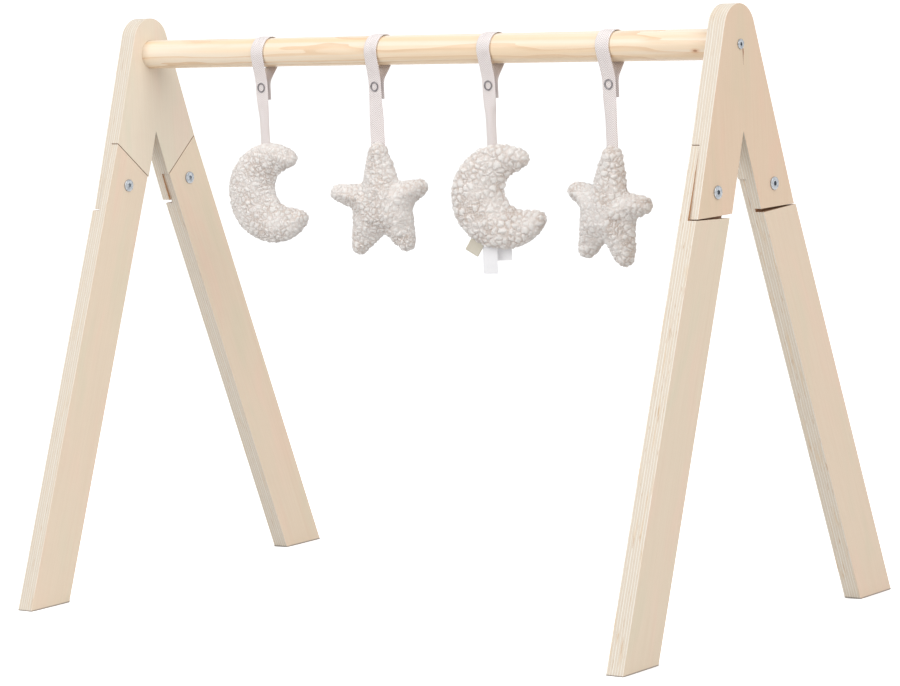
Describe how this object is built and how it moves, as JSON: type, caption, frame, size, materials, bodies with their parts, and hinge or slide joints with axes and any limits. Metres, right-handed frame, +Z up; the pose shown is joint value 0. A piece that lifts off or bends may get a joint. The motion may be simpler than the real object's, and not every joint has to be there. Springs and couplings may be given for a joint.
{
  "type": "activity play gym",
  "caption": "Wooden baby gym: two plywood A-frames carry a round bar, and plush moons and stars hang from it on ribbon straps that close with a snap.",
  "frame": {"origin": "on the floor under the middle of the bar, halfway between the feet", "axes": "+X along the bar, +Y from the front of the gym to its back, +Z up"},
  "size_m": [0.7292, 0.435, 0.564],
  "materials": {
    "plywood": "satin clear lacquer over birch plywood",
    "pine": "glossy clear varnish over pine",
    "zinc_steel": "bright zinc plate",
    "insert_brass": "turned brass",
    "ribbon": "fine twill ribbon",
    "snap_metal": "polished nickel plate",
    "teddy_cloth": "curly teddy pile",
    "filling": "loose polyester wadding",
    "tab_cotton": "folded cotton tape",
    "label_satin": "blank white satin"
  },
  "bodies": {
    "frame": {"left_head": "plywood", "right_head": "plywood", "left_front_leg": "plywood", "left_rear_leg": "plywood", "right_front_leg": "plywood", "right_rear_leg": "plywood", "bar": "pine", "bar_screws": "zinc_steel", "bar_inserts": "insert_brass", "left_leg_bolts": "zinc_steel", "right_leg_bolts": "zinc_steel", "left_leg_nuts": "zinc_steel", "right_leg_nuts": "zinc_steel"},
    "strap_1": {"strap_loop_1": "ribbon", "snap_ring_front_1": "snap_metal", "snap_socket_1": "snap_metal"},
    "tail_1": {"strap_tail_1": "ribbon", "snap_stud_1": "snap_metal", "snap_ring_back_1": "snap_metal"},
    "lower_strap_1": {"strap_lower_1": "ribbon"},
    "toy_1": {"moon_front_1": "teddy_cloth", "moon_back_1": "teddy_cloth", "moon_filling_1": "filling"},
    "strap_2": {"strap_loop_2": "ribbon", "snap_ring_front_2": "snap_metal", "snap_socket_2": "snap_metal"},
    "tail_2": {"strap_tail_2": "ribbon", "snap_stud_2": "snap_metal", "snap_ring_back_2": "snap_metal"},
    "lower_strap_2": {"strap_lower_2": "ribbon"},
    "toy_2": {"star_front_2": "teddy_cloth", "star_back_2": "teddy_cloth", "star_filling_2": "filling"},
    "strap_3": {"strap_loop_3": "ribbon", "snap_ring_front_3": "snap_metal", "snap_socket_3": "snap_metal"},
    "tail_3": {"strap_tail_3": "ribbon", "snap_stud_3": "snap_metal", "snap_ring_back_3": "snap_metal"},
    "lower_strap_3": {"strap_lower_3": "ribbon"},
    "toy_3": {"moon_front_3": "teddy_cloth", "moon_back_3": "teddy_cloth", "moon_filling_3": "filling", "moon_tab_3": "tab_cotton", "care_labels_3": "label_satin"},
    "strap_4": {"strap_loop_4": "ribbon", "snap_ring_front_4": "snap_metal", "snap_socket_4": "snap_metal"},
    "tail_4": {"strap_tail_4": "ribbon", "snap_stud_4": "snap_metal", "snap_ring_back_4": "snap_metal"},
    "lower_strap_4": {"strap_lower_4": "ribbon"},
    "toy_4": {"star_front_4": "teddy_cloth", "star_back_4": "teddy_cloth", "star_filling_4": "filling"}
  },
  "joints": [
    {"name": "strap_slide_1", "type": "slide", "parent": "frame", "child": "strap_1", "axis": [1, 0, 0], "range_m": [-0.085, 0.015]},
    {"name": "tail_snap_1", "type": "hinge", "parent": "strap_1", "child": "tail_1", "pos_m": [-0.194, 0.01166, 0.5184], "axis": [1, 0, 0], "range_deg": [0, 75]},
    {"name": "strap_swing_1", "type": "hinge", "parent": "strap_1", "child": "lower_strap_1", "pos_m": [-0.194, -0.008, 0.4805], "axis": [1, 0, 0], "range_deg": [-70, 70]},
    {"name": "toy_twist_1", "type": "hinge", "parent": "lower_strap_1", "child": "toy_1", "pos_m": [-0.194, -0.008, 0.44], "axis": [0, 0, 1], "range_deg": [-90, 90]},
    {"name": "strap_slide_2", "type": "slide", "parent": "frame", "child": "strap_2", "axis": [1, 0, 0], "range_m": [-0.015, 0.013]},
    {"name": "tail_snap_2", "type": "hinge", "parent": "strap_2", "child": "tail_2", "pos_m": [-0.051, 0.01166, 0.5184], "axis": [1, 0, 0], "range_deg": [0, 75]},
    {"name": "strap_swing_2", "type": "hinge", "parent": "strap_2", "child": "lower_strap_2", "pos_m": [-0.051, -0.008, 0.4805], "axis": [1, 0, 0], "range_deg": [-70, 70]},
    {"name": "toy_twist_2", "type": "hinge", "parent": "lower_strap_2", "child": "toy_2", "pos_m": [-0.051, -0.008, 0.44], "axis": [0, 0, 1], "range_deg": [-90, 90]},
    {"name": "strap_slide_3", "type": "slide", "parent": "frame", "child": "strap_3", "axis": [1, 0, 0], "range_m": [-0.013, 0.01]},
    {"name": "tail_snap_3", "type": "hinge", "parent": "strap_3", "child": "tail_3", "pos_m": [0.086, 0.01166, 0.5184], "axis": [1, 0, 0], "range_deg": [0, 75]},
    {"name": "strap_swing_3", "type": "hinge", "parent": "strap_3", "child": "lower_strap_3", "pos_m": [0.086, -0.008, 0.4805], "axis": [1, 0, 0], "range_deg": [-70, 70]},
    {"name": "toy_twist_3", "type": "hinge", "parent": "lower_strap_3", "child": "toy_3", "pos_m": [0.086, -0.008, 0.44], "axis": [0, 0, 1], "range_deg": [-90, 90]},
    {"name": "strap_slide_4", "type": "slide", "parent": "frame", "child": "strap_4", "axis": [1, 0, 0], "range_m": [-0.01, 0.05]},
    {"name": "tail_snap_4", "type": "hinge", "parent": "strap_4", "child": "tail_4", "pos_m": [0.224, 0.01166, 0.5184], "axis": [1, 0, 0], "range_deg": [0, 75]},
    {"name": "strap_swing_4", "type": "hinge", "parent": "strap_4", "child": "lower_strap_4", "pos_m": [0.224, -0.008, 0.4805], "axis": [1, 0, 0], "range_deg": [-70, 70]},
    {"name": "toy_twist_4", "type": "hinge", "parent": "lower_strap_4", "child": "toy_4", "pos_m": [0.224, -0.008, 0.44], "axis": [0, 0, 1], "range_deg": [-90, 90]}
  ]
}
